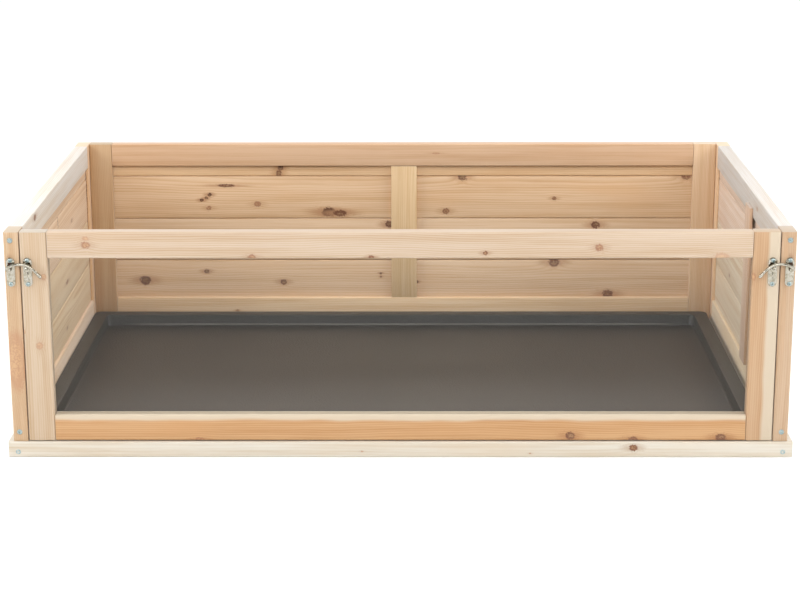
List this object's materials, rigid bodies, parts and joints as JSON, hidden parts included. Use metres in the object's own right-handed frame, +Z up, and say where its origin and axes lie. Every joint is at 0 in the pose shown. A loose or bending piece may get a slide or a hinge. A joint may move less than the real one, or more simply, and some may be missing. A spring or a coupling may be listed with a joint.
{
  "type": "small livestock pen",
  "caption": "Open-topped timber pen with boarded walls, a lift-out clear front panel held by hook latches, and a removable plastic floor tray.",
  "frame": {"origin": "on the ground under the middle of the pen's outer box", "axes": "+X across the pen to the right seen from the front, +Y from the clear front panel to the back wall, +Z up"},
  "size_m": [1.176, 0.7156, 0.3465],
  "materials": {
    "pale_timber": "planed, unfinished, pale",
    "warm_timber": "planed, unfinished, warm",
    "board_timber": "planed knotty boards, unfinished",
    "batten_timber": "planed, unfinished",
    "plywood": "thin plywood",
    "tray_plastic": "fine moulded grain, dark warm grey",
    "clear_acrylic": "clear acrylic sheet",
    "zinc": "bright zinc plate",
    "blue_zinc": "bluish zinc plate"
  },
  "bodies": {
    "root": {"base_front_strip": "pale_timber", "base_rear_strip": "pale_timber", "base_left_strip": "pale_timber", "base_right_strip": "pale_timber", "base_floor_panel": "plywood", "left_front_post": "warm_timber", "left_rear_stile": "warm_timber", "left_top_rail": "pale_timber", "left_bottom_rail": "pale_timber", "left_board_1": "board_timber", "left_board_2": "board_timber", "left_board_3": "board_timber", "left_board_4": "board_timber", "left_batten": "batten_timber", "right_rear_stile": "warm_timber", "right_front_post": "warm_timber", "right_top_rail": "pale_timber", "right_bottom_rail": "pale_timber", "right_board_1": "board_timber", "right_board_2": "board_timber", "right_board_3": "board_timber", "right_board_4": "board_timber", "right_batten": "batten_timber", "back_left_stile": "warm_timber", "back_right_stile": "warm_timber", "back_top_rail": "pale_timber", "back_bottom_rail": "pale_timber", "back_board_1": "board_timber", "back_board_2": "board_timber", "back_board_3": "board_timber", "back_board_4": "board_timber", "back_batten": "batten_timber", "left_dowel": "batten_timber", "right_dowel": "batten_timber", "left_catch_plate": "zinc", "left_catch_screw_upper": "blue_zinc", "left_catch_screw_lower": "blue_zinc", "left_post_screw_upper": "blue_zinc", "left_post_screw_lower": "blue_zinc", "right_catch_plate": "zinc", "right_catch_screw_upper": "blue_zinc", "right_catch_screw_lower": "blue_zinc", "right_post_screw_upper": "blue_zinc", "right_post_screw_lower": "blue_zinc"},
    "front_panel": {"front_left_stile": "warm_timber", "front_right_stile": "warm_timber", "front_bottom_rail": "warm_timber", "front_top_rail": "pale_timber", "front_pane": "clear_acrylic", "left_hook_plate": "zinc", "left_hook_pivot": "zinc", "left_hook_screw_upper": "blue_zinc", "left_hook_screw_lower": "blue_zinc", "right_hook_plate": "zinc", "right_hook_pivot": "zinc", "right_hook_screw_upper": "blue_zinc", "right_hook_screw_lower": "blue_zinc"},
    "left_latch": {"left_hook": "zinc"},
    "right_latch": {"right_hook": "zinc"},
    "lift_out_tray": {"tray": "tray_plastic"}
  },
  "joints": [
    {"name": "front_panel_lift", "type": "slide", "parent": "root", "child": "front_panel", "axis": [0, 0, 1], "range_m": [0, 0.335]},
    {"name": "tray_lift", "type": "slide", "parent": "root", "child": "lift_out_tray", "axis": [0, 0, 1], "range_m": [0, 0.335]},
    {"name": "left_hook_turn", "type": "hinge", "parent": "front_panel", "child": "left_latch", "pos_m": [-0.546, -0.35465, 0.2925], "axis": [0, 1, 0], "range_deg": [0, 110]},
    {"name": "right_hook_turn", "type": "hinge", "parent": "front_panel", "child": "right_latch", "pos_m": [0.546, -0.35465, 0.2925], "axis": [0, -1, 0], "range_deg": [0, 110]}
  ]
}
